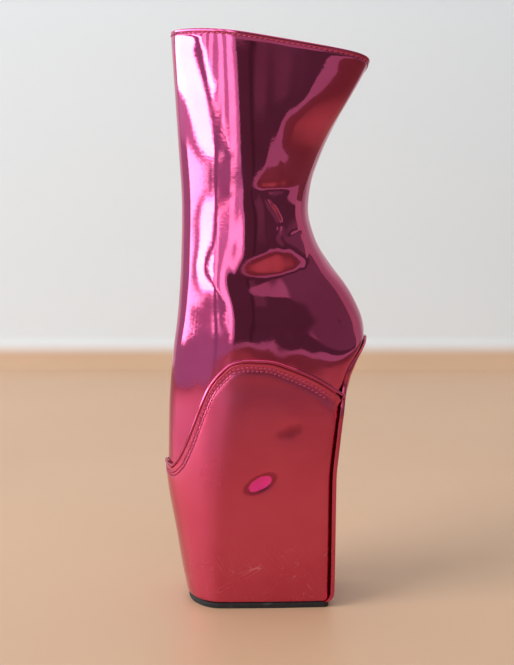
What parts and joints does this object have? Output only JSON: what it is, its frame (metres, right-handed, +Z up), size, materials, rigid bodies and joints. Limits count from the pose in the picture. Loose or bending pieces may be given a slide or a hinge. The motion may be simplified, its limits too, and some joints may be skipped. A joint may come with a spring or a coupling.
{
  "type": "heelless wedge ankle boot",
  "caption": "Tall heelless ankle boot on a steep hoof-shaped wedge, metallic pink foil leather, flared shaft, wrapped wedge, black rubber sole and a zip up the inner side.",
  "frame": {"origin": "centre of the bounding box on the floor, under the middle of the rubber outsole", "axes": "+Z up along the shaft, -X towards the toe, +X towards the heel, -Y the outer side, +Y the inner side with the zip"},
  "size_m": [0.159, 0.0827, 0.435],
  "materials": {
    "foil_leather": "mirror-like metallic pink foil",
    "lining": "smooth dark lining",
    "stiffener": "resin-stiffened felt",
    "board": "pressed fibre board",
    "shank_steel": "spring steel",
    "sock": "padded sock liner",
    "core": "light wood and cork",
    "rubber": "matte black",
    "thread": "twisted polyester thread",
    "zip_tape": "woven tape",
    "zip_teeth": "moulded teeth",
    "zip_metal": "polished nickel"
  },
  "bodies": {
    "boot": {"outer_quarter": "foil_leather", "inner_front_quarter": "foil_leather", "inner_rear_quarter": "foil_leather", "lining": "lining", "heel_counter": "stiffener", "toe_puff": "stiffener", "rim_tape": "stiffener", "shank": "shank_steel", "insole_board": "board", "sock_liner": "sock", "wedge_core": "core", "base_platform": "core", "wedge_wrap": "foil_leather", "wrap_rolled_edge": "foil_leather", "back_sole": "foil_leather", "outsole": "rubber", "rim_thread": "thread", "wrap_thread_upper": "thread", "wrap_thread_lower": "thread", "zip_tape_front": "zip_tape", "zip_tape_rear": "zip_tape", "zip_teeth_front": "zip_teeth", "zip_teeth_rear": "zip_teeth", "zip_top_stops": "zip_metal", "zip_bottom_stop": "zip_metal", "zip_guard": "lining", "zip_thread_front": "thread", "zip_thread_rear": "thread"},
    "slider": {"zip_slider": "zip_metal"},
    "pull": {"zip_pull": "zip_metal"}
  },
  "joints": [
    {"name": "zip_slide", "type": "slide", "parent": "boot", "child": "slider", "axis": [0, 0, 1], "range_m": [-0.19, 0]},
    {"name": "pull_swing", "type": "hinge", "parent": "slider", "child": "pull", "pos_m": [-0.002, 0.03985, 0.4145], "axis": [1, 0, 0], "range_deg": [0, 170]}
  ]
}
